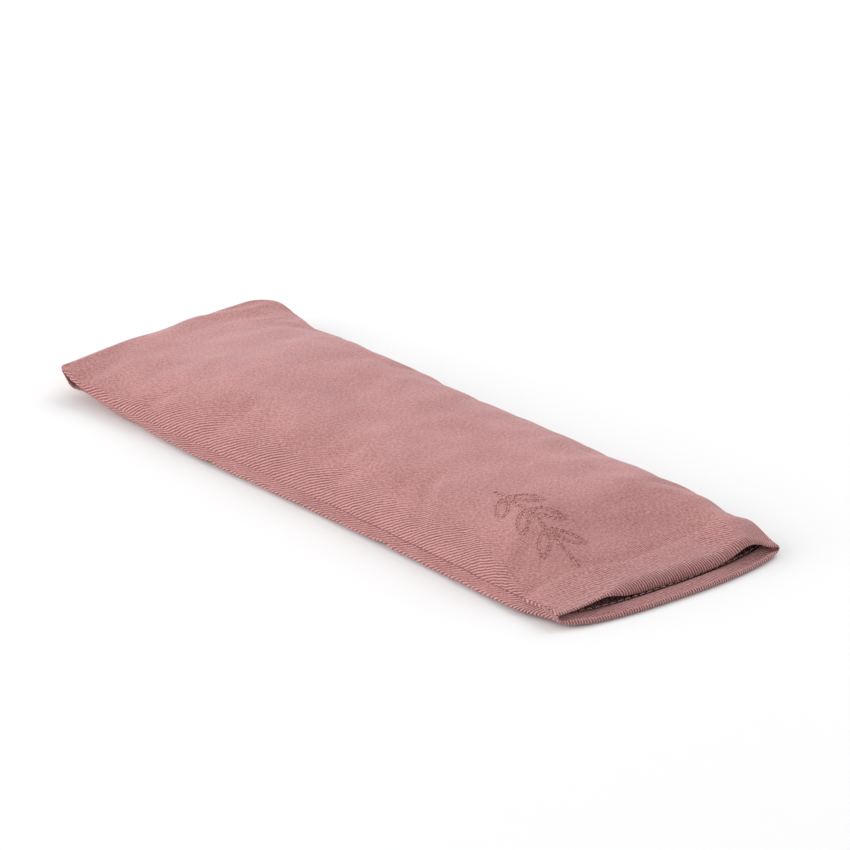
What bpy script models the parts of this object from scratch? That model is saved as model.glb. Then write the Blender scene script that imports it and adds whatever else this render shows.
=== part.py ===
"""Eye pillow: a seed-filled inner pillow in a removable sewn twill sleeve.

Metres, +Z up. The sleeve lies on its flat underside on z = 0, with its length along X, its
sewn-shut end at -X and its open mouth at +X. The origin is under the middle of the sleeve.
Cloth is modelled as its middle surface, given its thickness by Solidify.
"""

import math

import bmesh
import bpy
from mathutils import Vector

# Sleeve: driving dimensions
SLEEVE_LENGTH = 0.258
SLEEVE_WIDTH = 0.0905
CROWN_HEIGHT = 0.0188
TWILL_THICKNESS = 0.0006
SIDE_ALLOWANCE = 0.003
SLEEVE_FOLD_RADIUS = 0.00045
SLEEVE_CORNER_RADIUS = 0.007
TOP_HEM = 0.0155
BOTTOM_HEM = 0.007
HEM_SIDE_CLEARANCE = 0.0045

# Sleeve: how the cloth stands where the inner pillow doesn't fill it
SHUT_END_SEAM_HEIGHT = 0.0085
MIDDLE_SEAM_HEIGHT = 0.0056
MOUTH_SEAM_HEIGHT = 0.0038
MOUTH_CROWN_HEIGHT = 0.0096
FLAT_END_LENGTH = 0.005
SHUT_END_ROUND = 0.003
FILL_RISE_LENGTH = 0.050
MOUTH_FALL_LENGTH = 0.042
SHUT_END_LIFT_LENGTH = 0.024
WAIST_DEPTH = 0.0006
WAIST_FROM_END = 0.022
WAIST_LENGTH = 0.014
MOUTH_WIDENING = 0.0006
SHUT_END_CROWN = 0.0022

# Inner pillow
INSERT_LENGTH = 0.230
INSERT_WIDTH = 0.079
INSERT_THICKNESS = 0.0004
INSERT_ALLOWANCE = 0.0025
INSERT_FOLD_RADIUS = 0.00035
INSERT_CORNER_RADIUS = 0.009
INSERT_SEAM_HEIGHT = 0.0062
INSERT_CLEARANCE = 0.0013
INSERT_UNDERSIDE = 0.0020
INSERT_END_ROUND = 0.030
CLOSING_STITCH_LENGTH = 0.048
CLOSING_STITCH_STROKES = 16

# Seeds
FILLING_INSET = 0.0042
FILLING_GAP = 0.0006
FILLING_CORNER_PULL = 0.13
FILLING_SIDE_POWER = 0.7
FILLING_SEGMENTS = 24
FILLING_RINGS = 14

# Threads and gaps
SEAM_GAP = 0.0003
THREAD_RADIUS = 0.0002
THREAD_GAP = 0.00012
EMBROIDERY_RADIUS = 0.00035
EMBROIDERY_GAP = 0.0003
TACK_LENGTH = 0.0035
TACK_STROKES = 6
TOP_STITCHING_MARGIN = 0.0054
BOTTOM_STITCHING_MARGIN = 0.0072
STITCH_LINE_STEPS = 22

# Embroidered sprig: lies along the sleeve, next to the mouth's hem, on the near half
SPRIG_MIDDLE_FROM_MOUTH = 0.0400
SPRIG_SIDE_OFFSET = -0.0215
SPRIG_TILT = math.radians(-5.0)
SPRIG_LENGTH = 0.047
STEM_STEPS = 12
LEAF_LENGTH = 0.0125
LEAF_WIDTH = 0.0046
LEAF_ANGLE = math.radians(38.0)
LEAF_FROM_STEM = 0.0011
FIRST_LEAF_SHARE = 0.55
LEAF_PAIRS = 3
LEAF_POINTS = 12

# Fineness of the cloth meshes
SLEEVE_LENGTH_STEPS = 34
SLEEVE_WIDTH_STEPS = 16
INSERT_LENGTH_STEPS = 26
INSERT_WIDTH_STEPS = 14
FOLD_STEPS = 3
HEM_STEPS = 3
SIDE_POWER = 0.8
CROWN_POWER = 0.88
FLOOR_SPREAD = 1.15
ROW_SPACING_POWER = 1.35


def clear_scene():
    for old in list(bpy.data.objects):
        bpy.data.objects.remove(old, do_unlink=True)


def ramp(value, start, end):
    """Smooth step from 0 at start to 1 at end."""
    part = min(1.0, max(0.0, (value - start) / (end - start)))
    return part * part * (3.0 - 2.0 * part)


def round_over(value, length):
    """Quarter ellipse: 0 at value 0, rising upright, 1 from length on."""
    part = min(1.0, max(0.0, value / length))
    return math.sqrt(1.0 - (1.0 - part) ** 2)


class Sleeve:
    """Heights and outline of the outer sleeve, as the middle of its cloth."""

    length_steps = SLEEVE_LENGTH_STEPS
    width_steps = SLEEVE_WIDTH_STEPS
    thickness = TWILL_THICKNESS
    fold_radius = SLEEVE_FOLD_RADIUS
    allowance = SIDE_ALLOWANCE
    corner_radius = SLEEVE_CORNER_RADIUS
    shut_x = -SLEEVE_LENGTH / 2.0 + TWILL_THICKNESS / 2.0
    mouth_x = SLEEVE_LENGTH / 2.0 - TWILL_THICKNESS / 2.0 - SLEEVE_FOLD_RADIUS
    both_ends_shut = False

    def half_width(self, x):
        waist = (x - self.shut_x - WAIST_FROM_END) / WAIST_LENGTH
        half = (SLEEVE_WIDTH - TWILL_THICKNESS) / 2.0 - WAIST_DEPTH * math.exp(-waist * waist)
        return half + MOUTH_WIDENING * ramp(x, self.mouth_x - MOUTH_FALL_LENGTH, self.mouth_x)

    def seam_height(self, x):
        rise = ramp(x, self.shut_x, self.shut_x + FILL_RISE_LENGTH)
        fall = ramp(x, self.mouth_x - MOUTH_FALL_LENGTH, self.mouth_x)
        height = SHUT_END_SEAM_HEIGHT + (MIDDLE_SEAM_HEIGHT - SHUT_END_SEAM_HEIGHT) * rise
        return height - (MIDDLE_SEAM_HEIGHT - MOUTH_SEAM_HEIGHT) * fall

    def edge_offset(self):
        """Height of a panel's side edge over or under the seam."""
        return SEAM_GAP / 2.0 + self.thickness / 2.0 + self.fold_radius

    def crown(self, x):
        from_end = x - self.shut_x
        flat = SHUT_END_SEAM_HEIGHT + self.edge_offset() + SHUT_END_CROWN
        rise = ramp(from_end, FLAT_END_LENGTH, FLAT_END_LENGTH + FILL_RISE_LENGTH)
        fall = ramp(x, self.mouth_x - MOUTH_FALL_LENGTH, self.mouth_x)
        top = CROWN_HEIGHT - self.thickness / 2.0
        height = flat + (top - flat) * rise - (top - MOUTH_CROWN_HEIGHT) * fall
        edge = self.seam_height(x) + self.edge_offset()
        return edge + (height - edge) * round_over(from_end, SHUT_END_ROUND)

    def floor(self, x):
        lowest = self.thickness / 2.0
        edge = self.seam_height(x) - self.edge_offset()
        lift = 1.0 - ramp(x, self.shut_x, self.shut_x + SHUT_END_LIFT_LENGTH)
        return lowest + (edge - lowest) * lift

    def shut_end(self, y):
        return self.shut_x + self.corner_bite(y, self.shut_x)

    def open_end(self, y):
        return self.mouth_x

    def corner_bite(self, y, x):
        """How far a rounded corner stands back from the end, at this y."""
        over = max(0.0, abs(y) - (self.half_width(x) - self.corner_radius))
        inside = self.corner_radius**2 - min(over, self.corner_radius) ** 2
        return self.corner_radius - math.sqrt(inside)


class Insert(Sleeve):
    """Heights and outline of the inner pillow's bag, sewn shut all round."""

    length_steps = INSERT_LENGTH_STEPS
    width_steps = INSERT_WIDTH_STEPS
    thickness = INSERT_THICKNESS
    fold_radius = INSERT_FOLD_RADIUS
    allowance = INSERT_ALLOWANCE
    corner_radius = INSERT_CORNER_RADIUS
    shut_x = -INSERT_LENGTH / 2.0
    mouth_x = INSERT_LENGTH / 2.0
    both_ends_shut = True

    def half_width(self, x):
        return INSERT_WIDTH / 2.0

    def seam_height(self, x):
        return INSERT_SEAM_HEIGHT

    def end_round(self, x):
        nearest = min(x - self.shut_x, self.mouth_x - x)
        return round_over(nearest, INSERT_END_ROUND)

    def crown(self, x):
        edge = self.seam_height(x) + self.edge_offset()
        under_sleeve = Sleeve().crown(x) - INSERT_CLEARANCE
        return edge + (under_sleeve - edge) * self.end_round(x)

    def floor(self, x):
        edge = self.seam_height(x) - self.edge_offset()
        return edge + (INSERT_UNDERSIDE - edge) * self.end_round(x)

    def open_end(self, y):
        return self.mouth_x - self.corner_bite(y, self.mouth_x)


def side_position(turn):
    """Across the bag: -1 to 1 as turn goes from -90 to 90 degrees, closer together at the sides."""
    return math.copysign(abs(math.sin(turn)) ** SIDE_POWER, turn)


def cloth_height(bag, x, turn, upper):
    """Height of the middle of the cloth at a station x and a turn across it."""
    edge = bag.seam_height(x) + (1.0 if upper else -1.0) * bag.edge_offset()
    if upper:
        return edge + (bag.crown(x) - edge) * abs(math.cos(turn)) ** CROWN_POWER
    return edge + (bag.floor(x) - edge) * min(1.0, FLOOR_SPREAD * math.sqrt(abs(math.cos(turn))))


def cloth_height_at(bag, x, y, upper):
    part = min(1.0, abs(y) / bag.half_width(x)) ** (1.0 / SIDE_POWER)
    return cloth_height(bag, x, math.asin(part), upper)


def cloth_point(bag, i, j, upper):
    """Point of the cloth i steps from the shut end and j steps from the near side."""
    turn = math.pi * (j / bag.width_steps - 0.5)
    along = 2.0 * i / bag.length_steps - 1.0
    share = 0.5 + 0.5 * math.copysign(1.0 - (1.0 - abs(along)) ** ROW_SPACING_POWER, along)
    y = side_position(turn) * bag.half_width(0.0)
    for _ in range(3):
        start = bag.shut_end(y)
        x = start + (bag.open_end(y) - start) * share
        y = side_position(turn) * bag.half_width(x)
    return Vector((x, y, cloth_height(bag, x, turn, upper)))


def seam_steps(bag):
    """Grid steps round the sewn edge: near side from the mouth, shut end, far side, and on if shut."""
    last, wide = bag.length_steps, bag.width_steps
    steps = [(i, 0) for i in range(last, -1, -1)]
    steps += [(0, j) for j in range(1, wide)]
    steps += [(i, wide) for i in range(last + 1)]
    if bag.both_ends_shut:
        steps += [(last, j) for j in range(wide - 1, 0, -1)]
    return steps


def mitred_normals(points, closed):
    """Outward plan normal at each point of a seam, lengthened at corners so that offsets stay even."""
    count = len(points)
    normals = []
    for i, point in enumerate(points):
        sides = []
        for a, b in ((i - 1, i), (i, i + 1)):
            if closed or 0 <= a and b < count:
                step = points[b % count] - points[a % count]
                sides.append(Vector((-step.y, step.x, 0.0)).normalized())
        normal = sum(sides, Vector((0.0, 0.0, 0.0))).normalized()
        normals.append(normal / normal.dot(sides[0]))
    return normals


def extrude_once(mesh, edges, places):
    """Extrude edges and put each new vertex at places[old vertex]. Returns new edges and their sources."""
    made = bmesh.ops.extrude_edge_only(mesh, edges=edges)["geom"]
    new_edges = [g for g in made if isinstance(g, bmesh.types.BMEdge)]
    sources = {}
    for vert in (g for g in made if isinstance(g, bmesh.types.BMVert)):
        sources[vert] = min(places, key=lambda old: (old.co - vert.co).length)
    for vert, source in sources.items():
        vert.co = places[source]
    return new_edges, sources


def turn_in_allowance(mesh, bag, upper, loop):
    """Fold the cloth round at the seam and run its allowance back inside the bag."""
    down = -1.0 if upper else 1.0
    origin = [vert.co.copy() for vert in loop]
    normals = mitred_normals(origin, bag.both_ends_shut)
    pairs = list(zip(loop, loop[1:] + loop[:1] if bag.both_ends_shut else loop[1:]))
    edges = [mesh.edges.get(pair) for pair in pairs]
    root = {vert: i for i, vert in enumerate(loop)}
    for step in range(1, FOLD_STEPS + 2):
        angle = math.pi / 2.0 * min(step, FOLD_STEPS) / FOLD_STEPS
        back = bag.fold_radius * (1.0 - math.cos(angle))
        if step > FOLD_STEPS:
            back += bag.allowance
        drop = Vector((0.0, 0.0, down * bag.fold_radius * math.sin(angle)))
        places = {v: origin[i] - normals[i] * back + drop for v, i in root.items()}
        edges, sources = extrude_once(mesh, edges, places)
        root = {vert: root[source] for vert, source in sources.items()}


def turn_hem(mesh, bag, upper, hem, mouth):
    """Fold the mouth's edge to the inside and run the hem back under the panel."""
    inward = -1.0 if upper else 1.0
    limit = bag.half_width(bag.mouth_x) - HEM_SIDE_CLEARANCE
    loop = [vert for vert in mouth if abs(vert.co.y) < limit]
    edges = [mesh.edges.get(pair) for pair in zip(loop, loop[1:])]
    origin = [vert.co.copy() for vert in loop]
    root = {vert: i for i, vert in enumerate(loop)}
    radius = bag.fold_radius
    steps = 2 * FOLD_STEPS
    for step in range(1, steps + 1):
        angle = math.pi * step / steps
        shift = Vector((math.sin(angle), 0.0, inward * (1.0 - math.cos(angle)))) * radius
        places = {v: origin[i] + shift for v, i in root.items()}
        edges, sources = extrude_once(mesh, edges, places)
        root = {vert: root[source] for vert, source in sources.items()}
    for row in range(1, HEM_STEPS + 1):
        back = (hem - radius) * row / HEM_STEPS
        places = {}
        for vert, i in root.items():
            x = origin[i].x - back
            height = cloth_height_at(bag, x, origin[i].y, upper)
            places[vert] = Vector((x, origin[i].y, height + inward * 2.0 * radius))
        edges, sources = extrude_once(mesh, edges, places)
        root = {vert: root[source] for vert, source in sources.items()}


def make_panel(name, bag, upper, hem, material, collection):
    """One cut piece of cloth: crowned or flat panel, turned-in allowances, and a hem at the mouth."""
    mesh = bmesh.new()
    bmesh.ops.create_grid(mesh, x_segments=bag.length_steps, y_segments=bag.width_steps, size=1.0)
    by_step = {}
    for vert in mesh.verts:
        i = round((vert.co.x + 1.0) / 2.0 * bag.length_steps)
        j = round((vert.co.y + 1.0) / 2.0 * bag.width_steps)
        by_step[i, j] = vert
    for (i, j), vert in by_step.items():
        vert.co = cloth_point(bag, i, j, upper)
    turn_in_allowance(mesh, bag, upper, [by_step[step] for step in seam_steps(bag)])
    if hem > 0.0:
        mouth = [by_step[bag.length_steps, j] for j in range(bag.width_steps + 1)]
        turn_hem(mesh, bag, upper, hem, mouth)
    bmesh.ops.recalc_face_normals(mesh, faces=mesh.faces)
    data = bpy.data.meshes.new(name)
    mesh.to_mesh(data)
    mesh.free()
    data.shade_smooth()
    data.materials.append(material)
    panel = bpy.data.objects.new(name, data)
    collection.objects.link(panel)
    solidify = panel.modifiers.new("cloth_thickness", "SOLIDIFY")
    solidify.thickness = bag.thickness
    solidify.offset = 0.0
    solidify.use_even_offset = True
    return panel


def make_thread(name, points, radius, material, collection, closed=False):
    """A run of sewing or embroidery thread through the given points."""
    curve = bpy.data.curves.new(name, "CURVE")
    curve.dimensions = "3D"
    curve.bevel_depth = radius
    curve.bevel_resolution = 1
    curve.use_fill_caps = not closed
    spline = curve.splines.new("POLY")
    spline.points.add(len(points) - 1)
    for target, point in zip(spline.points, points):
        target.co = (*point, 1.0)
    spline.use_cyclic_u = closed
    thread = bpy.data.objects.new(name, curve)
    collection.objects.link(thread)
    curve.materials.append(material)
    return thread


def thread_standoff(bag):
    """How far outside the folds a thread sits when it lies in the groove between two panels."""
    reach = bag.fold_radius + bag.thickness / 2.0 + THREAD_RADIUS + THREAD_GAP
    return math.sqrt(reach**2 - bag.edge_offset() ** 2) - bag.fold_radius


def seam_path(bag):
    """Thread's path round the sewn edge, in the groove between the two panels."""
    loop = [cloth_point(bag, i, j, True) for i, j in seam_steps(bag)]
    normals = mitred_normals(loop, bag.both_ends_shut)
    path = []
    for point, normal in zip(loop, normals):
        place = point + normal * thread_standoff(bag)
        path.append(Vector((place.x, place.y, bag.seam_height(point.x))))
    return path


def make_sleeve_seam(sleeve, material, collection):
    path = seam_path(sleeve)
    return make_thread("sleeve_seam_thread", path, THREAD_RADIUS, material, collection)


def make_insert_seam(insert, material, collection):
    path = seam_path(insert)
    return make_thread("insert_seam_thread", path, THREAD_RADIUS, material, collection, closed=True)


def stitch_line(sleeve, x, margin, upper):
    """Points across the sleeve at x, standing on the cloth, margin short of each side."""
    reach = sleeve.half_width(x) - margin
    lift = sleeve.thickness / 2.0 + THREAD_RADIUS + EMBROIDERY_GAP
    points = []
    for i in range(STITCH_LINE_STEPS + 1):
        y = reach * (2.0 * i / STITCH_LINE_STEPS - 1.0)
        points.append(Vector((x, y, cloth_height_at(sleeve, x, y, upper) + lift)))
    return points


def make_top_hem_stitching(sleeve, material, collection):
    """Stitch line on the outside of the top panel, along the inner edge of its hem."""
    x = sleeve.mouth_x - TOP_HEM + 2.0 * THREAD_RADIUS
    points = stitch_line(sleeve, x, TOP_STITCHING_MARGIN, True)
    return make_thread("top_hem_stitching", points, THREAD_RADIUS, material, collection)


def make_bottom_hem_stitching(sleeve, material, collection):
    """Thread that binds the inner edge of the bottom panel's hem, inside the mouth."""
    x = sleeve.mouth_x - BOTTOM_HEM - THREAD_RADIUS - EMBROIDERY_GAP
    points = stitch_line(sleeve, x, BOTTOM_STITCHING_MARGIN, False)
    return make_thread("bottom_hem_stitching", points, THREAD_RADIUS, material, collection)


def make_back_tack(sleeve, side, material, collection):
    """Zigzag of thread that locks the end of a side seam at the mouth."""
    name = "near_seam_back_tack" if side < 0 else "far_seam_back_tack"
    start = sleeve.mouth_x - THREAD_RADIUS
    standoff = thread_standoff(sleeve) + 2.0 * THREAD_RADIUS + THREAD_GAP
    reach = sleeve.edge_offset()
    points = []
    for stroke in range(TACK_STROKES + 1):
        x = start - TACK_LENGTH * stroke / TACK_STROKES
        y = side * (sleeve.half_width(x) + standoff)
        z = sleeve.seam_height(x) + (reach if stroke % 2 else -reach)
        points.append(Vector((x, y, z)))
    return make_thread(name, points, THREAD_RADIUS, material, collection)


def make_closing_stitch(insert, material, collection):
    """Stitches over the edge that shut the gap the seeds were poured in through."""
    points = []
    standoff = thread_standoff(insert) + 2.0 * THREAD_RADIUS + THREAD_GAP
    for stroke in range(CLOSING_STITCH_STROKES + 1):
        y = CLOSING_STITCH_LENGTH * (stroke / CLOSING_STITCH_STROKES - 0.5)
        x = insert.shut_x - standoff
        z = INSERT_SEAM_HEIGHT + (1.0 if stroke % 2 else -1.0) * insert.edge_offset()
        points.append(Vector((x, y, z)))
    return make_thread("insert_closing_stitch", points, THREAD_RADIUS, material, collection)


def embroidered_point(sleeve, along, across):
    """Point on the cloth at a place measured from the sprig's middle, along and across its stem."""
    x = SLEEVE_LENGTH / 2.0 - SPRIG_MIDDLE_FROM_MOUTH
    x += along * math.cos(SPRIG_TILT) - across * math.sin(SPRIG_TILT)
    y = SPRIG_SIDE_OFFSET + along * math.sin(SPRIG_TILT) + across * math.cos(SPRIG_TILT)
    lift = sleeve.thickness / 2.0 + EMBROIDERY_RADIUS + EMBROIDERY_GAP
    return Vector((x, y, cloth_height_at(sleeve, x, y, True) + lift))


def make_stem(sleeve, material, collection):
    points = []
    for i in range(STEM_STEPS + 1):
        along = SPRIG_LENGTH * (i / STEM_STEPS - 0.5)
        points.append(embroidered_point(sleeve, along, 0.0))
    return make_thread("embroidered_stem", points, EMBROIDERY_RADIUS, material, collection)


def make_leaf(sleeve, pair, side, material, collection):
    """Stitched outline of one leaf, pointed at both ends, slanting away from the stem."""
    spacing = (SPRIG_LENGTH - LEAF_LENGTH) / LEAF_PAIRS
    root = Vector((spacing * (pair + FIRST_LEAF_SHARE) - SPRIG_LENGTH / 2.0, side * LEAF_FROM_STEM))
    heading = Vector((math.cos(LEAF_ANGLE), side * math.sin(LEAF_ANGLE)))
    sideways = Vector((-heading.y, heading.x))
    outline = []
    for i in range(LEAF_POINTS):
        angle = 2.0 * math.pi * i / LEAF_POINTS
        reach = LEAF_LENGTH * (1.0 - math.cos(angle)) / 2.0
        half = LEAF_WIDTH / 2.0 * math.sin(angle)
        spot = root + heading * reach + sideways * half
        outline.append(embroidered_point(sleeve, spot.x, spot.y))
    label = "near" if side < 0 else "far"
    name = f"embroidered_leaf_{label}_{pair + 1}"
    return make_thread(name, outline, EMBROIDERY_RADIUS, material, collection, closed=True)


def make_filling(insert, material, collection):
    """The packed seeds as one solid lump, clear of the bag and of its turned-in allowances."""
    mesh = bmesh.new()
    bmesh.ops.create_uvsphere(
        mesh, u_segments=FILLING_SEGMENTS, v_segments=FILLING_RINGS, radius=1.0
    )
    reach_x = INSERT_LENGTH / 2.0 - FILLING_INSET
    reach_y = INSERT_WIDTH / 2.0 - FILLING_INSET
    clearance = insert.thickness / 2.0 + FILLING_GAP
    for vert in mesh.verts:
        flat = Vector((vert.co.x, vert.co.y))
        spread = flat.length
        if spread > 0.0:
            flat = flat / max(abs(flat.x), abs(flat.y)) * spread
        corner = 1.0 - FILLING_CORNER_PULL * min(abs(flat.x), abs(flat.y)) ** 2
        x = flat.x * reach_x * corner
        y = flat.y * reach_y * corner
        upper = vert.co.z > 0.0
        limit = cloth_height_at(insert, x, y, upper) + (-clearance if upper else clearance)
        level = abs(vert.co.z) ** FILLING_SIDE_POWER
        vert.co = (x, y, INSERT_SEAM_HEIGHT + (limit - INSERT_SEAM_HEIGHT) * level)
    data = bpy.data.meshes.new("seed_filling")
    mesh.to_mesh(data)
    mesh.free()
    data.shade_smooth()
    data.materials.append(material)
    filling = bpy.data.objects.new("seed_filling", data)
    collection.objects.link(filling)
    return filling


def make_material(name, colour, roughness, sheen=0.0):
    material = bpy.data.materials.new(name)
    material.use_nodes = True
    shader = material.node_tree.nodes["Principled BSDF"]
    shader.inputs["Base Color"].default_value = (*colour, 1.0)
    shader.inputs["Roughness"].default_value = roughness
    shader.inputs["Metallic"].default_value = 0.0
    shader.inputs["Sheen Weight"].default_value = sheen
    return material


def main():
    clear_scene()
    collection = bpy.data.collections.new("eye_pillow")
    bpy.context.scene.collection.children.link(collection)
    twill = make_material("rose_twill", (0.54, 0.27, 0.26), 0.9, 0.3)
    rose_thread = make_material("rose_thread", (0.50, 0.24, 0.23), 0.7)
    mauve_thread = make_material("mauve_thread", (0.33, 0.16, 0.16), 0.6)
    calico = make_material("natural_calico", (0.78, 0.70, 0.60), 0.95)
    calico_thread = make_material("natural_thread", (0.80, 0.75, 0.66), 0.7)
    seeds = make_material("linseed", (0.24, 0.11, 0.05), 0.5)

    sleeve = Sleeve()
    insert = Insert()
    make_panel("sleeve_top_panel", sleeve, True, TOP_HEM, twill, collection)
    make_panel("sleeve_bottom_panel", sleeve, False, BOTTOM_HEM, twill, collection)
    make_sleeve_seam(sleeve, rose_thread, collection)
    make_top_hem_stitching(sleeve, rose_thread, collection)
    make_bottom_hem_stitching(sleeve, rose_thread, collection)
    for side in (-1, 1):
        make_back_tack(sleeve, side, rose_thread, collection)
    make_stem(sleeve, mauve_thread, collection)
    for pair in range(LEAF_PAIRS):
        for side in (-1, 1):
            make_leaf(sleeve, pair, side, mauve_thread, collection)
    make_panel("insert_top_panel", insert, True, 0.0, calico, collection)
    make_panel("insert_bottom_panel", insert, False, 0.0, calico, collection)
    make_insert_seam(insert, calico_thread, collection)
    make_closing_stitch(insert, calico_thread, collection)
    make_filling(insert, seeds, collection)


main()
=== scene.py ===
"""Looks of the eye pillow: a twill sleeve with an embroidered sprig, over a calico pillow of linseed.

Metres, +Z up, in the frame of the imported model. The sleeve's shut end is at -X, its open mouth at
+X, and its near side, towards the camera, at -Y. Cloth is modelled as its middle surface.
"""

import math

import bpy
import numpy as np
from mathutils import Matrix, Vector
from mathutils.bvhtree import BVHTree


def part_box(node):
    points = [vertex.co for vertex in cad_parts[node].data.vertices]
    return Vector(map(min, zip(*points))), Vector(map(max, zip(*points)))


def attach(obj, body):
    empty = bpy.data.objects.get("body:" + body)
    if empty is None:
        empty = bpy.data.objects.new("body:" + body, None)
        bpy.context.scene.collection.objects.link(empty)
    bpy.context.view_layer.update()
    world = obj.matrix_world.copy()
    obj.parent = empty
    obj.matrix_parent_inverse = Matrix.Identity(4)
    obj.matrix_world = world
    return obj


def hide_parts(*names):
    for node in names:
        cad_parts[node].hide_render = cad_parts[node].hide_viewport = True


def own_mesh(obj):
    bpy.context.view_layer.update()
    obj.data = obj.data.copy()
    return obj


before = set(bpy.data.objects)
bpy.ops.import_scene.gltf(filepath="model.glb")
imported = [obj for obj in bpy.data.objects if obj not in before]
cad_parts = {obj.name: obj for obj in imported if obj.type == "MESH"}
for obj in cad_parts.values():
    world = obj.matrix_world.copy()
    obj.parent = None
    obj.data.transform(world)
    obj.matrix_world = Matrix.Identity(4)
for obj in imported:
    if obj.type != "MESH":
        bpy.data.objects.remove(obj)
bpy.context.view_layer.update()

MM = 0.001
panel_low, panel_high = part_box("sleeve_top_panel")
SLEEVE_LENGTH = panel_high.x - panel_low.x
SLEEVE_HALF_WIDTH = panel_high.y

# Cloth
TWILL = 0.6 * MM
TWILL_PITCH = 0.885 * MM
TWILL_ANGLE = math.radians(28.0)
SEAM_FOLD = 0.06 * MM
SEAM_OPEN = 0.14 * MM
HEM_FOLD = 0.4 * MM
ALLOWANCE = 3.0 * MM
CLIP_REACH = 9.0 * MM
CLIP_LEAST = 0.1

# Slot between the panels at the near shut corner, where the bottom one sags away
CORNER_OPEN = 0.35 * MM
POCKET_FROM_TIP = 5.0 * MM
POCKET_REACH = 5.0 * MM
POCKET_SAG = 1.9 * MM

# Thickness at the edges, how fine the meshes are, and the panels' sections
EDGE_THINNEST = 0.1
EDGE_FADE = 2.5 * MM
ROWS = 180
COLUMNS = 48
ROW_POWER = 1.15
SIDE_POWER = 0.8
CROWN_POWER = 0.83
FLOOR_SPREAD = 1.12
FLOOR_POWER = 0.5
WALL_BULGE = 4.8 * MM
WALL_REACH = 0.75
FOLD_STEPS = 3

# Outline of the sleeve as it lies, in plan: the two ends are a little askew
NEAR_SHUT = (-0.1262, -0.0478)
FAR_SHUT = (-0.1300, 0.0450)
FAR_MOUTH = (0.1300, 0.0471)
NEAR_MOUTH = (0.1277, -0.0466)
NEAR_CORNER_RADIUS = 2.0 * MM
FAR_CORNER_RADIUS = 8.5 * MM
SHUT_BOW = 1.0 * MM
SIDE_HOLLOW = 3.0 * MM
NOTCH_X = -0.099
NOTCH_DEPTH = 2.1 * MM
NOTCH_LENGTH = 10.0 * MM

# Heights
CROWN = 19.7 * MM
SHUT_SEAM_HEIGHT = 10.6 * MM
MIDDLE_SEAM_HEIGHT = 4.5 * MM
MOUTH_SEAM_HEIGHT = 5.1 * MM
FAR_SEAM_DROP = 2.5 * MM
SEAM_FALL = 36.0 * MM
SHUT_CROWN_RISE = 0.9 * MM
SHUT_ROUND = 3.0 * MM
FLAT_END = 4.5 * MM
FILL_RISE = 72.0 * MM
MOUTH_FALL = 44.0 * MM
SHUT_LIFT = 4.0 * MM
CORNER_LIFT = 32.0 * MM

# The near side of the shut half is rounded under, so that its seam lies low and out of sight
NEAR_FALL = 9.0 * MM
TUCK_START = -0.045
TUCK_END = -0.115
TUCK_SPREAD = 1.35
TUCK_POWER = 0.7

# Mouth: the top hem stands open in the middle and its edge droops over as a lip
MOUTH_RISE = 3.1 * MM
FAR_RISE = 2.8 * MM
FAR_RISE_SIDE = 0.86
FAR_RISE_REACH = 0.085
TOP_BOW = 0.1 * MM
BOTTOM_BOW = 6.0 * MM
LIP_RADIUS = 2.8 * MM
LIP_CURL = math.radians(50.0)
TOP_HEM = 17.0 * MM
BOTTOM_HEM = 7.0 * MM
BOTTOM_ROLL = 1.3 * MM
CORNER_ROLL = 0.35 * MM
BOTTOM_HEM_LIFT = 1.7 * MM
HEM_ROWS = 5
ROLL_STEPS = 6
HEM_GROOVE = 0.45 * MM
HEM_GROOVE_REACH = 1.3 * MM
HEM_PUFF_X = 0.119
HEM_PUFF = 4.5 * MM
HEM_SHOULDER_X = 0.103
HEM_SHOULDER = 1.2 * MM

# Folds and hollows in the top panel: start, end, half width, height, in millimetres
FOLDS = (
    ((-83, -43), (-78, -37), 2.6, -0.7),
    ((-51, -44), (-47, -38), 2.6, -0.5),
    ((8, -42), (12, -38), 2.8, -0.7),
    ((43, -27), (57, -45), 2.2, -0.6),
    ((48, -26), (61, -44), 2.6, 0.35),
    ((95, -27), (104, -45), 3.0, -0.7),
    ((-104, 33), (-94, 37), 1.8, 0.6),
    ((-75, 28), (-40, 31), 2.6, 0.45),
    ((-66, 23), (-37, 26), 2.4, -0.45),
    ((-70, -5), (-10, -20), 6.0, 0.40),
    ((-42, -25), (-6, -40), 5.0, 0.30),
    ((-30, 5), (25, -12), 6.0, -0.30),
    ((70, 15), (92, 34), 4.0, -0.40),
    ((55, 5), (80, -6), 5.0, 0.25),
)
LUMP_HEIGHT = 0.16 * MM

# Settling: the sewn pair of panels is blown up a little as cloth, which gives it soft folds
SETTLE_STEP = 2
SETTLE_FRAMES = 20
SETTLE_LIMIT = 0.9 * MM
SETTLE_PIN_LENGTH = 40.0 * MM

# Sewing and embroidery
SEWING_RADIUS = 0.16 * MM
EMBROIDERY_RADIUS = 0.24 * MM
HEM_STITCH = (2.3 * MM, 0.7 * MM)
SEAM_STITCH = (2.2 * MM, 0.6 * MM)
BACK_STITCH = (1.7 * MM, 0.1 * MM)
TACK_STITCH = (1.4 * MM, 0.2 * MM)
TACK_ROWS = 6
TACK_SHIFT = 0.2 * MM
TACK_WANDER = 0.05 * MM
STITCH_LIFT = 0.02 * MM
EMBROIDERY_LIFT = 0.16 * MM
EMBROIDERY_WANDER = 0.07 * MM
OUTLINE_GAP = 0.95 * MM
SPRIG_MIDDLE = (SLEEVE_LENGTH / 2.0 - 0.0400, -0.0215)
SPRIG_TILT = math.radians(-5.0)
SPRIG_LENGTH = 47.0 * MM
LEAF_LENGTH = 12.5 * MM
LEAF_WIDTH = 4.6 * MM
LEAF_ANGLE = math.radians(38.0)
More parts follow.
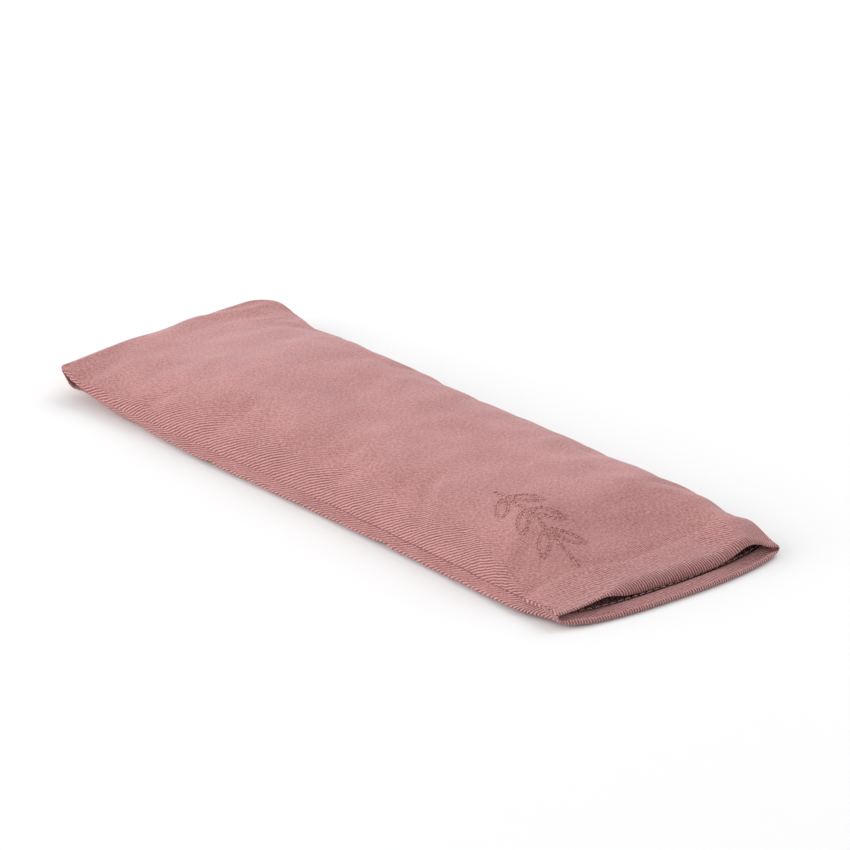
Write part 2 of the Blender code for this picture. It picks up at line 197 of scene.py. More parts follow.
LEAF_FROM_STEM = 1.1 * MM
FIRST_LEAF_SHARE = 0.55
LEAF_PAIRS = 3

# Inner pillow
CALICO = 0.4 * MM
INSERT_LENGTH = 230.0 * MM
INSERT_WIDTH = 79.0 * MM
INSERT_CORNER = 9.0 * MM
INSERT_SEAM = 6.2 * MM
INSERT_UNDERSIDE = 2.0 * MM
INSERT_CLEARANCE = 1.9 * MM
INSERT_ROUND = 30.0 * MM
INSERT_FOLD = 0.35 * MM
INSERT_ALLOWANCE = 2.5 * MM
INSERT_ROWS = 120
INSERT_COLUMNS = 44
INSERT_ROW_POWER = 1.3
INSERT_START = -0.124
INSERT_END = 0.129
PUCKER_HEIGHT = 0.5 * MM
PUCKER_SPACING = 7.0 * MM
PUCKER_REACH = 9.0 * MM
CLOSING_LENGTH = 48.0 * MM
CLOSING_STITCHES = 18
CLOSING_BITE = 1.2 * MM
CLOSING_SLANT = 0.9 * MM
SEED_COUNT = 1500
SEED_INSET = 6
SEED_SIZE = (4.4 * MM, 2.3 * MM, 1.1 * MM)


def ramp(value, start, end):
    """Smooth step from 0 at start to 1 at end."""
    part = np.clip((value - start) / (end - start), 0.0, 1.0)
    return part * part * (3.0 - 2.0 * part)


def bump_at(value, centre, reach):
    """Bell of height 1 at centre that has faded out at about twice the reach."""
    return np.exp(-(((value - centre) / reach) ** 2))


def mix(a, b, share):
    return a + (b - a) * share


def round_over(value, length):
    """Quarter ellipse: 0 at value 0, rising upright, 1 from length on."""
    part = np.clip(value / length, 0.0, 1.0)
    return np.sqrt(1.0 - (1.0 - part) ** 2)


def ripple(value, wavelength, seed):
    """Uneven wave between about -1 and 1, from three sines of unlike lengths."""
    phases = np.random.default_rng(seed).uniform(0.0, 2.0 * math.pi, 3)
    waves = [
        np.sin(2.0 * math.pi * value / (wavelength * stretch) + phase)
        for stretch, phase in zip((1.0, 1.63, 0.57), phases)
    ]
    return (waves[0] + 0.8 * waves[1] + 0.5 * waves[2]) / 2.3


# --- The sleeve's shape ---


def lip_part(side):
    """How far the top hem's edge is rolled over, 0 at the mouth's corners and 1 in the middle."""
    return ramp(side, 0.20, 0.32) * (1.0 - ramp(side, 0.80, 0.95))


def lip_radius(side):
    return mix(CORNER_ROLL, LIP_RADIUS, lip_part(side))


def lip_bend(side):
    """Angle that the top hem's edge is bent over by, the most in the near half, where it curls under."""
    return math.pi / 2.0 + LIP_CURL * ramp(side, 0.24, 0.42) * (1.0 - 0.95 * ramp(side, 0.46, 0.82))


def hem_back(side):
    """Plan distance from the panel's end to the top hem's stitch line."""
    return np.maximum(4.0 * MM, TOP_HEM - lip_radius(side) * lip_bend(side))


def mouth_rise(side):
    """Rise of the top hem over the seam at the mouth, from the near corner (0) to the far one (1)."""
    rise = MOUTH_RISE * ramp(side, 0.0, 0.36) ** 1.3 * (1.0 - ramp(side, 0.82, 1.0))
    return rise + FAR_RISE * bump_at(side, FAR_RISE_SIDE, FAR_RISE_REACH) * (1.0 - ramp(side, 0.9, 1.0))


def bottom_bow(side):
    return BOTTOM_BOW * (1.0 - np.abs(2.0 * side**0.9 - 1.0) ** 2.5)


def tuck(x, side):
    """How far the bottom panel is rounded under: 1 along the near side of the shut half, else 0."""
    return (1.0 - ramp(x, TUCK_END, TUCK_START)) * (1.0 - ramp(side, 0.25, 0.6))


def column_places(columns):
    """Place across a panel (-1 to 1) and level (0 at the sides, 1 in the middle) of its columns."""
    turn = np.linspace(-math.pi / 2.0, math.pi / 2.0, columns + 1)
    return np.sign(turn) * np.abs(np.sin(turn)) ** SIDE_POWER, np.abs(np.cos(turn))


def panel_grid(rows, columns, row_power):
    """Share of the length, place across and level at each point of a panel."""
    along = np.linspace(-1.0, 1.0, rows + 1)
    share = 0.5 + 0.5 * np.sign(along) * (1.0 - (1.0 - np.abs(along)) ** row_power)
    across, level = column_places(columns)
    share, across = np.meshgrid(share, across, indexing="ij")
    return share, across, np.broadcast_to(level, share.shape)


def plan_grid(upper):
    """x and y of the cloth, its level, its side share, and its distances from both ends."""
    share, across, level = panel_grid(ROWS, COLUMNS, ROW_POWER)
    side = (across + 1.0) / 2.0
    start = mix(NEAR_SHUT[0], FAR_SHUT[0], side) - SHUT_BOW * (1.0 - across**2)
    end = mix(NEAR_MOUTH[0], FAR_MOUTH[0], side)
    if upper:
        end = end + TOP_BOW * (1.0 - across**2) - LIP_RADIUS * lip_part(side)
    else:
        end = end + bottom_bow(side)
    radius = np.where(across < 0.0, NEAR_CORNER_RADIUS, FAR_CORNER_RADIUS)
    over = np.clip(np.abs(across) * SLEEVE_HALF_WIDTH - (SLEEVE_HALF_WIDTH - radius), 0.0, radius)
    start = start + radius - np.sqrt(radius**2 - over**2)
    x = mix(start, end, share)
    hollow = SIDE_HOLLOW * (1.0 - (2.0 * share - 1.0) ** 2)
    near = mix(NEAR_SHUT[1], NEAR_MOUTH[1], share) + hollow
    far = mix(FAR_SHUT[1], FAR_MOUTH[1], share) - hollow
    far = far - NOTCH_DEPTH * bump_at(x, NOTCH_X, NOTCH_LENGTH)
    y = mix(near, far, side)
    if not upper:
        under = np.sin(math.pi * np.clip(level / WALL_REACH, 0.0, 1.0))
        bulge = WALL_BULGE * (1.0 - tuck(x, side)) * ramp(x, start, start + 0.020)
        y = y + np.sign(across) * under * bulge * ramp(end - x, 0.0, 0.020)
    return x, y, level, side, x - start, end - x


def seam_height(x, side):
    shut = -SLEEVE_LENGTH / 2.0
    corner = mix(NEAR_MOUTH[0], FAR_MOUTH[0], side)
    mouth = MOUTH_SEAM_HEIGHT - FAR_SEAM_DROP * side
    far = mix(SHUT_SEAM_HEIGHT, MIDDLE_SEAM_HEIGHT, ramp(x, shut, shut + FILL_RISE))
    fallen = 1.0 - np.exp(-np.maximum(x - NEAR_SHUT[0], 0.0) / NEAR_FALL)
    near = mix(SHUT_SEAM_HEIGHT, MIDDLE_SEAM_HEIGHT, fallen)
    height = mix(near, far, ramp(side, 0.0, 0.7))
    height = mix(height, mouth, ramp(x, corner - SEAM_FALL, corner))
    return height + 0.2 * MM * ripple(x, 0.021, 4) * (2.0 * side - 1.0)


def edge_share(x):
    """Thickness of the cloth where it is sewn, pressed flatter towards the shut end."""
    return EDGE_THINNEST + 0.3 * ramp(x, -0.02, 0.06)


def edge_offset(x):
    opened = SEAM_OPEN * ramp(x, -0.01, 0.03) + CORNER_OPEN * bump_at(x, NEAR_SHUT[0] + 0.006, 0.005)
    return TWILL * edge_share(x) / 2.0 + SEAM_FOLD + opened


def fold_heights(x, y):
    """Height that the folds, the hollows and the seeds' lumps add to the top panel."""
    total = np.zeros_like(x)
    for (x0, y0), (x1, y1), width, height in FOLDS:
        run = np.array([x1 - x0, y1 - y0]) * MM
        part = np.clip(((x - x0 * MM) * run[0] + (y - y0 * MM) * run[1]) / (run @ run), 0.0, 1.0)
        away = np.hypot(x - x0 * MM - part * run[0], y - y0 * MM - part * run[1])
        total += height * MM * bump_at(away, 0.0, width * MM)
    for k, angle in enumerate((0.3, 1.2, 2.1, 2.9)):
        total += LUMP_HEIGHT * ripple(x * math.cos(angle) + y * math.sin(angle), 0.017, 20 + k)
    return total


def top_heights(x, y, level, side, from_start, from_end):
    edge = seam_height(x, side) + edge_offset(x)
    flat = SHUT_SEAM_HEIGHT + SHUT_CROWN_RISE
    rise = ramp(from_start, FLAT_END, FLAT_END + FILL_RISE)
    fall = ramp(-from_end, -MOUTH_FALL, 0.0)
    top = flat + (CROWN - flat) * rise
    top = edge + (top - edge) * round_over(from_start, SHUT_ROUND)
    filled = edge + (top - edge) * level**CROWN_POWER
    height = mix(filled, edge + mouth_rise(side), fall)
    inside = ramp(level, 0.0, 0.35) * ramp(from_start, 0.0, 0.008)
    height += fold_heights(x, y) * inside * ramp(from_end, 0.0, 0.014)
    far_edge = ramp(side, 0.80, 0.96) * ramp(level, 0.0, 0.25)
    height += far_edge * HEM_PUFF * bump_at(x, HEM_PUFF_X, 8.0 * MM)
    height += far_edge * HEM_SHOULDER * bump_at(x, HEM_SHOULDER_X, 4.0 * MM)
    groove = bump_at(from_end, hem_back(side), HEM_GROOVE_REACH)
    return height - HEM_GROOVE * groove * ramp(level, 0.0, 0.2)


def bottom_heights(x, y, level, side, from_start):
    edge = seam_height(x, side) - edge_offset(x)
    lowest = TWILL / 2.0
    lift = 1.0 - ramp(from_start, 0.0, mix(CORNER_LIFT, SHUT_LIFT, ramp(side, 0.0, 0.25)))
    floor = lowest + (edge - lowest) * lift
    under = tuck(x, side)
    power = mix(FLOOR_POWER, TUCK_POWER, under)
    spread = np.minimum(1.0, mix(FLOOR_SPREAD, TUCK_SPREAD, under) * level**power)
    from_pocket = np.hypot(x - NEAR_SHUT[0] - POCKET_FROM_TIP, y - NEAR_SHUT[1])
    sag = POCKET_SAG * bump_at(from_pocket, 0.0, POCKET_REACH) * ramp(from_start, 0.0, POCKET_FROM_TIP)
    return edge + (floor - edge) * spread - sag


def sleeve_grid(upper):
    """Points of one panel's middle surface, rows from the shut end and columns from the near side."""
    x, y, level, side, from_start, from_end = plan_grid(upper)
    if upper:
        z = top_heights(x, y, level, side, from_start, from_end)
    else:
        z = bottom_heights(x, y, level, side, from_start)
    return np.stack([x, y, z], axis=-1)


def side_shares():
    return (column_places(COLUMNS)[0] + 1.0) / 2.0


# --- Cloth panels ---


def grid_quads(rows, columns):
    starts = [i * columns + j for i in range(rows - 1) for j in range(columns - 1)]
    return [(a, a + columns, a + columns + 1, a + 1) for a in starts]


class Cloth:
    """A mesh in the making: points with the cloth coordinates they were cut at, and faces."""

    def __init__(self, grid, upper):
        rows, columns = grid.shape[:2]
        self.points = [tuple(p) for p in grid.reshape(-1, 3)]
        middle = columns // 2
        across = np.linalg.norm(np.diff(grid, axis=1), axis=2)
        across = np.concatenate([np.zeros((rows, 1)), np.cumsum(across, axis=1)], axis=1)
        across -= across[:, middle : middle + 1]
        along = np.linalg.norm(np.diff(grid[:, middle], axis=0), axis=1)
        along = np.concatenate([[0.0], np.cumsum(along)])
        along = np.broadcast_to(along[:, None], across.shape)
        self.cut = [tuple(c) for c in np.stack([along, across], axis=-1).reshape(-1, 2)]
        self.faces = [quad if upper else quad[::-1] for quad in grid_quads(rows, columns)]

    def extend(self, loop, places, step, flip):
        """Add a strip of faces from a run of points to new places. Returns the new run."""
        first = len(self.points)
        self.points += [tuple(p) for p in places]
        self.cut += [tuple(c) for c in step]
        new = list(range(first, first + len(loop)))
        for k in range(len(loop) - 1):
            quad = (loop[k], loop[k + 1], new[k + 1], new[k])
            self.faces.append(quad[::-1] if flip else quad)
        return new

    def run(self, loop):
        return np.array([self.points[k] for k in loop]), np.array([self.cut[k] for k in loop])


def seam_loop(rows, columns, closed):
    """Indexes round the sewn edge: near side from the mouth, shut end, far side, and on if closed."""
    loop = [i * columns for i in range(rows - 1, -1, -1)]
    loop += list(range(1, columns))
    loop += [i * columns + columns - 1 for i in range(1, rows)]
    if closed:
        loop += [(rows - 1) * columns + j for j in range(columns - 2, 0, -1)]
        loop.append(loop[0])
    return loop


def outward_normals(points, closed):
    """Outward plan normal at each point of a seam, lengthened at corners."""
    before = points - np.roll(points, 1, axis=0)
    after = np.roll(points, -1, axis=0) - points
    if closed:
        before[0] = points[0] - points[-2]
        after[-1] = points[1] - points[0]
    else:
        before[0] = after[0]
        after[-1] = before[-1]
    sides = []
    for step in (before, after):
        normal = np.stack([-step[:, 1], step[:, 0], 0.0 * step[:, 0]], axis=-1)
        sides.append(normal / np.linalg.norm(normal, axis=1, keepdims=True))
    normal = sides[0] + sides[1]
    normal /= np.linalg.norm(normal, axis=1, keepdims=True)
    return normal / np.maximum(0.4, np.sum(normal * sides[0], axis=1, keepdims=True))


def clipped_allowance(cloth, loop):
    """Allowance left along the sleeve's seam: it is trimmed short at the two shut corners."""
    origin, _ = cloth.run(loop)
    room = [np.hypot(origin[:, 0] - x, origin[:, 1] - y) for x, y in (NEAR_SHUT, FAR_SHUT)]
    return ALLOWANCE * np.clip(np.min(room, axis=0) / CLIP_REACH, CLIP_LEAST, 1.0)


def turn_in(cloth, loop, upper, closed, radius, allowance):
    """Fold the cloth round at the seam and run its allowance back inside."""
    origin, cut = cloth.run(loop)
    normals = outward_normals(origin, closed)
    down = -1.0 if upper else 1.0
    arc = 0.0
    for step in range(1, FOLD_STEPS + 2):
        angle = math.pi / 2.0 * min(step, FOLD_STEPS) / FOLD_STEPS
        back = radius * (1.0 - math.cos(angle))
        arc += radius * math.pi / 2.0 / FOLD_STEPS
        if step > FOLD_STEPS:
            back += allowance
            arc += allowance
        places = origin - normals * np.reshape(back, (-1, 1))
        places[:, 2] += down * radius * math.sin(angle)
        loop = cloth.extend(loop, places, cut + normals[:, :2] * np.reshape(arc, (-1, 1)), flip=not upper)


def lip_profile(radius, bend, fold, hem):
    """Outline of a hem's edge, seen from the side: forward and downward steps from the panel's end.

    It goes over the lip's bend, round the fold at its edge, and back up inside. Also returns how
    far the hem then runs back under the panel.
    """
    inner = max(radius - 2.0 * fold, 0.3 * MM)
    middle = (radius + inner) / 2.0
    angles = np.linspace(0.0, bend, ROLL_STEPS + 1)[1:]
    points = [(radius * math.sin(a), radius - radius * math.cos(a)) for a in angles]
    for a in np.linspace(0.0, math.pi, FOLD_STEPS + 2)[1:-1]:
        reach = middle + (radius - middle) * math.cos(a)
        past = (radius - middle) * math.sin(a)
        ahead = reach * math.sin(bend) + past * math.cos(bend)
        points.append((ahead, radius - reach * math.cos(bend) + past * math.sin(bend)))
    points += [(inner * math.sin(a), radius - inner * math.cos(a)) for a in angles[::-1]]
    return np.array(points), max(hem - radius * bend, 4.0 * MM)


def turn_hem(cloth, loop, grid, upper, hem, radii, bends, edge_gap):
    """Droop the mouth's edge, fold it to the inside and run the hem back under the panel."""
    origin, cut = cloth.run(loop)
    inward = -1.0 if upper else 1.0
    profiles = [lip_profile(radius, bend, HEM_FOLD, hem) for radius, bend in zip(radii, bends)]
    steps = np.array([points for points, _ in profiles])
    backs = np.array([back for _, back in profiles])
    arc = np.zeros(len(loop))
    last = np.zeros((len(loop), 2))
    for k in range(steps.shape[1]):
        places = origin.copy()
        places[:, 0] += steps[:, k, 0]
        places[:, 2] += inward * steps[:, k, 1]
        arc = arc + np.linalg.norm(steps[:, k] - last, axis=1)
        last = steps[:, k]
        loop = cloth.extend(loop, places, cut + np.stack([arc, 0.0 * arc], axis=-1), flip=upper)
    for row in range(1, HEM_ROWS + 1):
        share = row / HEM_ROWS
        places = origin.copy()
        places[:, 0] += last[:, 0] - (backs + last[:, 0]) * share
        for k in range(len(places)):
            places[k, 2] = np.interp(places[k, 0], grid[:, k, 0], grid[:, k, 2])
        gap = mix(last[:, 1], edge_gap, ramp(share, 0.0, 0.9))
        places[:, 2] += inward * gap
        step_cut = cut + np.stack([arc + backs * share, 0.0 * arc], axis=-1)
        loop = cloth.extend(loop, places, step_cut, flip=upper)


def add_object(name, data):
    made = bpy.data.objects.new(name, data)
    bpy.context.scene.collection.objects.link(made)
    return made


def make_object(name, points, faces, cut=None):
    mesh = bpy.data.meshes.new(name)
    mesh.from_pydata([tuple(p) for p in points], [], faces)
    if cut is not None:
        layer = mesh.uv_layers.new(name="cut")
        flat = np.array(cut)[[loop.vertex_index for loop in mesh.loops]]
        layer.data.foreach_set("uv", flat.astype(np.float32).ravel())
    mesh.update()
    mesh.shade_smooth()
    return add_object(name, mesh)


def thicken(piece, thickness, shares, thinnest):
    """Round the mesh off and give it its thickness, thinner where shares fall from 1 to 0."""
    group = piece.vertex_groups.new(name="full_thickness")
    for index, share in enumerate(shares):
        group.add([index], float(share), "REPLACE")
    smooth = piece.modifiers.new("rounding", "SUBSURF")
    smooth.levels = smooth.render_levels = 1
    solid = piece.modifiers.new("cloth_thickness", "SOLIDIFY")
    solid.thickness = thickness
    solid.offset = 0.0
    solid.vertex_group = group.name
    solid.thickness_vertex_group = thinnest
    evaluated = piece.evaluated_get(bpy.context.evaluated_depsgraph_get())
    finished = bpy.data.meshes.new_from_object(evaluated)
    piece.modifiers.clear()
    piece.vertex_groups.clear()
    piece.data = finished


def make_panel(name, grid, upper, material):
    rows, columns = grid.shape[:2]
    cloth = Cloth(grid, upper)
    seam = seam_loop(rows, columns, False)
    turn_in(cloth, seam, upper, False, SEAM_FOLD, clipped_allowance(cloth, seam))
    sewn = len(cloth.points)
    mouth = [(rows - 1) * columns + j for j in range(columns)]
    side = side_shares()
    if upper:
        turn_hem(cloth, mouth, grid, upper, TOP_HEM, lip_radius(side), lip_bend(side), TWILL * 1.1)
    else:
        radii = mix(CORNER_ROLL, BOTTOM_ROLL, ramp(side, 0.0, 0.07) * (1.0 - ramp(side, 0.93, 1.0)))
        bends = np.full(columns, math.pi / 2.0)
        turn_hem(cloth, mouth, grid, upper, BOTTOM_HEM, radii, bends, BOTTOM_HEM_LIFT)
        cloth.cut = [(along, -across) for along, across in cloth.cut]
    piece = make_object(name, cloth.points, cloth.faces, cloth.cut)
    piece.data.materials.append(material)
    shares = np.ones(len(cloth.points))
    shares[: rows * columns] = edge_fade(grid).ravel()
    shares[rows * columns : sewn] = 0.0
    floor_share = (edge_share(np.array(cloth.points)[:, 0]) - EDGE_THINNEST) / (1.0 - EDGE_THINNEST)
    thicken(piece, TWILL, np.maximum(shares, floor_share), EDGE_THINNEST)
    return piece


def edge_fade(grid):
    """Share of the full thickness at each grid point, from 0 on the sewn edge to 1 a little inside."""
    steps = np.linalg.norm(np.diff(grid, axis=1), axis=2)
    near = np.concatenate([np.zeros((len(grid), 1)), np.cumsum(steps, axis=1)], axis=1)
    far = near[:, -1:] - near
    start = np.linalg.norm(grid - grid[:1], axis=2)
    return ramp(np.minimum(np.minimum(near, far), start), 0.0, EDGE_FADE)


# --- Settling as cloth ---


def bag_mesh(upper, lower):
    """One closed mesh of both panels, which share their sewn edge. Returns it with both index grids."""
    rows, columns = upper.shape[:2]
    top_index = np.arange(rows * columns).reshape(rows, columns)
    low_index = top_index.copy()
    points = [tuple(p) for p in upper.reshape(-1, 3)]
    for i in range(rows):
        for j in range(columns):
            if i > 0 and 0 < j < columns - 1:
                low_index[i, j] = len(points)
                points.append(tuple(lower[i, j]))
    faces = []
    for quad in grid_quads(rows, columns):
        faces.append(tuple(int(top_index.flat[k]) for k in quad))
        faces.append(tuple(int(low_index.flat[k]) for k in reversed(quad)))
    for j in range(columns - 1):
        ring = [top_index[-1, j], low_index[-1, j], low_index[-1, j + 1], top_index[-1, j + 1]]
        faces.append(tuple(dict.fromkeys(int(k) for k in ring)))
    return make_object("settling", points, faces), top_index, low_index


def settle(upper, lower):
    """How far each point of both panels moves as the bag settles round its filling."""
    coarse = [grid[::SETTLE_STEP, ::SETTLE_STEP] for grid in (upper, lower)]
    bag, *indexes = bag_mesh(*coarse)
    rest = np.array([v.co for v in bag.data.vertices])
    pins = bag.vertex_groups.new(name="pins")
    rows, columns = coarse[0].shape[:2]
    for index, grid in zip(indexes, coarse):
        held = 1.0 - ramp(grid[-1:, :, 0] - grid[:, :, 0], SETTLE_PIN_LENGTH / 2.0, SETTLE_PIN_LENGTH)
        held[:, 0] = held[:, -1] = held[0] = 1.0
        for i in range(rows):
            for j in range(columns):
                pins.add([int(index[i, j])], float(held[i, j]), "REPLACE")
    cloth = bag.modifiers.new("settling", "CLOTH")
    cloth.point_cache.frame_start = 1
    cloth.point_cache.frame_end = SETTLE_FRAMES
    options = cloth.settings
    options.quality = 6
    options.mass = 0.15
    options.tension_stiffness = options.compression_stiffness = 20.0
    options.shear_stiffness = 8.0
    options.bending_stiffness = 1.0
    options.vertex_group_mass = pins.name
    options.use_pressure = True
    options.uniform_pressure_force = 1.0
    options.shrink_min = -0.006
    options.effector_weights.gravity = 0.0
    for frame_number in range(1, SETTLE_FRAMES + 1):
        bpy.context.scene.frame_set(frame_number)
    settled = bag.evaluated_get(bpy.context.evaluated_depsgraph_get()).data
    moves = np.array([v.co for v in settled.vertices]) - rest
    bpy.data.objects.remove(bag, do_unlink=True)
    bpy.context.scene.frame_set(1)
    size = np.maximum(np.linalg.norm(moves, axis=1, keepdims=True), 1e-9)
    moves *= SETTLE_LIMIT * np.tanh(size / SETTLE_LIMIT) / size
    return tuple(refine(moves[index], upper.shape) for index in indexes)


def refine(values, shape):
    """Values on every second row and column, filled in between by straight lines."""
    for axis in (1, 0):
        places = np.arange(shape[axis])
        known = np.arange(values.shape[axis]) * SETTLE_STEP
        values = np.apply_along_axis(lambda line: np.interp(places, known, line), axis, values)
    return values


# --- Thread ---


class Strands:
    """Many short lengths of thread in one mesh."""

    sides = 6
    taper = 0.5

    def __init__(self):
        self.points = []
        self.faces = []

    def add(self, path, radius):
        """One tube along a path, thinner at its ends."""
        path = np.array(path, float)
        along = np.gradient(path, axis=0)
        along /= np.linalg.norm(along, axis=1, keepdims=True)
        across = np.cross(along, (0.0, 0.0, 1.0))
        across[np.linalg.norm(across, axis=1) < 1e-6] = (1.0, 0.0, 0.0)
        across /= np.linalg.norm(across, axis=1, keepdims=True)
        lift = np.cross(across, along)
        first = len(self.points)
        for k, place in enumerate(path):
            width = radius * (self.taper if k in (0, len(path) - 1) else 1.0)
            for side in range(self.sides):
                angle = 2.0 * math.pi * side / self.sides
                spoke = across[k] * math.cos(angle) + lift[k] * math.sin(angle)
                self.points.append(place + width * spoke)
        for k in range(len(path) - 1):
            for side in range(self.sides):
                a = first + k * self.sides + side
                b = first + k * self.sides + (side + 1) % self.sides
                self.faces.append((a, a + self.sides, b + self.sides, b))
        ring = list(range(first, first + self.sides))
        self.faces.append(tuple(ring))
        self.faces.append(tuple(k + (len(path) - 1) * self.sides for k in reversed(ring)))

    def finish(self, name, material):
        piece = make_object(name, self.points, self.faces)
        piece.data.materials.append(material)
        return piece


class Top:
    """Finds the upper surface of a finished piece of cloth under any place in plan."""

    def __init__(self, piece):
        self.tree = BVHTree.FromObject(piece, bpy.context.evaluated_depsgraph_get())

    def height(self, x, y):
        hit = self.tree.ray_cast(Vector((x, y, 0.1)), Vector((0.0, 0.0, -1.0)))[0]
        return hit.z if hit else SHUT_SEAM_HEIGHT

    def lay(self, route):
        return np.array([(x, y, self.height(x, y)) for x, y in route])


def sew(strands, path, stitch, radius, lift, wander=0.0, seed=0):
    """Row of stitches along a path of points on the cloth: each dips into it at both ends."""
    length, gap = stitch
    path = np.array(path, float)
    run = np.concatenate([[0.0], np.cumsum(np.linalg.norm(np.diff(path, axis=0), axis=1))])
    random = np.random.default_rng(seed)
    count = max(1, int(round(run[-1] / (length + gap))))
    pitch = run[-1] / count
    for k in range(count):
        at = np.linspace(k * pitch, k * pitch + pitch * length / (length + gap), 5)
        places = np.stack([np.interp(at, run, path[:, axis]) for axis in range(3)], axis=-1)
        places[:, :2] += wander * random.normal(size=2)
        places[:, 2] += lift * np.array((-1.6, 0.7, 1.0, 0.7, -1.6))
        strands.add(places, radius)


def stitched(name, material, *rows):
    """One piece made of rows of stitches, each row given as sew takes it."""
    strands = Strands()
    for row in rows:
        sew(strands, *row)
    return strands.finish(name, material)


def make_seam_thread(grid, material):
    """Stitches that show between the two panels, round three sides."""
    rows, columns = grid.shape[:2]
    flat = grid.reshape(-1, 3)
    path = flat[seam_loop(rows, columns, False)].copy()
    normals = outward_normals(path, False)
    path -= normals * 2.0 * SEWING_RADIUS
    path[:, 2] -= edge_offset(path[:, 0])
    row = (path, SEAM_STITCH, SEWING_RADIUS * 0.7, STITCH_LIFT)
    return stitched("sleeve_seam_stitches", material, row)


def make_top_hem_stitches(grid, top, material):
    """Stitch line over the inner edge of the top hem, at the bottom of its groove."""
    inside = slice(2, -2)
    side = side_shares()[inside]
    ends = grid[-1, inside]
    route = np.stack([ends[:, 0] - hem_back(side), ends[:, 1]], axis=-1)
    row = (top.lay(route), HEM_STITCH, 0.75 * SEWING_RADIUS, 0.03 * MM)
    return stitched("top_hem_stitches", material, row)


def make_bottom_hem_stitches(grid, material):
    """Overedge stitches on the inner edge of the bottom hem, inside the mouth."""
    inside = slice(6, -6)
    path = grid[-1, inside].copy()
    path[:, 0] -= BOTTOM_HEM - 1.0 * MM
    path[:, 2] += BOTTOM_HEM_LIFT + TWILL / 2.0
    row = (path, HEM_STITCH, SEWING_RADIUS, 0.10 * MM)
    return stitched("bottom_hem_stitches", material, row)


def make_back_tack(name, grid, column, material):
    """Three short rows of stitches over one another, which lock the seam's end at the mouth."""
    side = -1.0 if column == 0 else 1.0
    path = grid[-TACK_ROWS:, column].copy()
    path[:, 2] -= edge_offset(path[:, 0])
    path[:, 1] += side * SEWING_RADIUS
    rows = [
        (path + (0.0, 0.0, shift), TACK_STITCH, SEWING_RADIUS, STITCH_LIFT, TACK_WANDER, k)
        for k, shift in enumerate((-TACK_SHIFT, 0.0, TACK_SHIFT))
    ]
    return stitched(name, material, *rows)


# --- Embroidery ---


def on_sleeve(along, across):
    """Place in plan of a point measured from the sprig's middle, along and across its stem."""
    x = SPRIG_MIDDLE[0] + along * math.cos(SPRIG_TILT) - across * math.sin(SPRIG_TILT)
    y = SPRIG_MIDDLE[1] + along * math.sin(SPRIG_TILT) + across * math.cos(SPRIG_TILT)
    return np.stack([x, y], axis=-1)


def embroider(name, routes, top, material, seed):
    rows = [
        (top.lay(route), BACK_STITCH, EMBROIDERY_RADIUS, EMBROIDERY_LIFT, EMBROIDERY_WANDER, seed + k)
        for k, route in enumerate(routes)
    ]
    return stitched(name, material, *rows)


def make_stem(top, material):
    along = np.linspace(-SPRIG_LENGTH / 2.0, SPRIG_LENGTH / 2.0, 60)
    routes = [on_sleeve(along, 0.0 * along + side * OUTLINE_GAP / 2.0) for side in (-1.0, 1.0)]
    return embroider("stitched_stem", routes, top, material, 100)


def make_leaf(pair, side, top, material):
    """Outline of one leaf in two rows of back stitches, slanting away from the stem."""
    spacing = (SPRIG_LENGTH - LEAF_LENGTH) / LEAF_PAIRS
    root = (spacing * (pair + FIRST_LEAF_SHARE) - SPRIG_LENGTH / 2.0, side * LEAF_FROM_STEM)
    angle = np.linspace(0.0, 2.0 * math.pi, 49)
    routes = []
    for inset in (0.0, OUTLINE_GAP):
        reach = LEAF_LENGTH / 2.0 - (LEAF_LENGTH / 2.0 - 1.6 * inset) * np.cos(angle)
        half = (LEAF_WIDTH / 2.0 - inset) * np.sin(angle) * np.sqrt(np.abs(np.sin(angle)))
        along = root[0] + reach * math.cos(LEAF_ANGLE) - half * math.sin(LEAF_ANGLE)
        across = root[1] + side * (reach * math.sin(LEAF_ANGLE) + half * math.cos(LEAF_ANGLE))
        routes.append(on_sleeve(along, across))
    label = "near" if side < 0 else "far"
    seed = 10 * pair + (0 if side < 0 else 5)
    return embroider(f"stitched_leaf_{label}_{pair + 1}", routes, top, material, seed)


# --- Inner pillow ---


